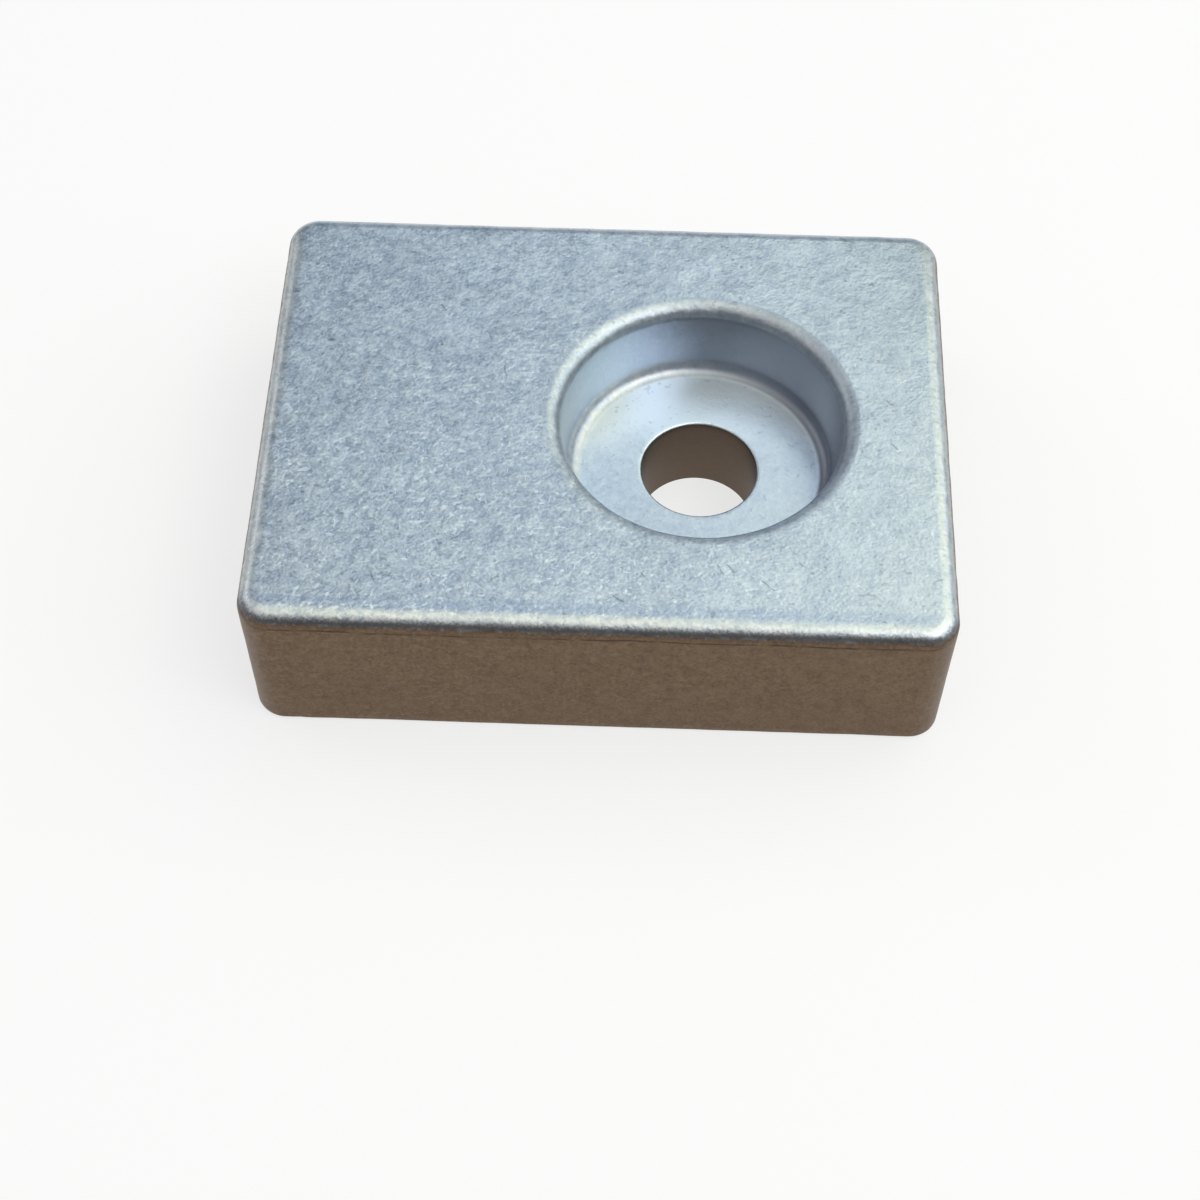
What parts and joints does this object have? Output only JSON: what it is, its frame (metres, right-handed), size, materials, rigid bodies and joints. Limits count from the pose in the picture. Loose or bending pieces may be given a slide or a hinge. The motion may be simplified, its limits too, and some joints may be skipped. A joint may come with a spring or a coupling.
{
  "type": "sacrificial anode",
  "caption": "Small cast metal anode block with rounded edges and a deep round recess around an offset bolt hole, bolted flat to a boat's wetted metal to corrode in its place.",
  "frame": {"origin": "centre of the bolt hole, in the plane of the flat back that seats on the boat", "axes": "+Z along the bolt hole, out of the recess and away from the back; +X along the block's length, towards the end nearer the hole"},
  "size_m": [0.0479, 0.0364, 0.0125],
  "materials": {
    "cast_metal": "satin"
  },
  "bodies": {
    "root": {"anode_block": "cast_metal"}
  },
  "joints": []
}
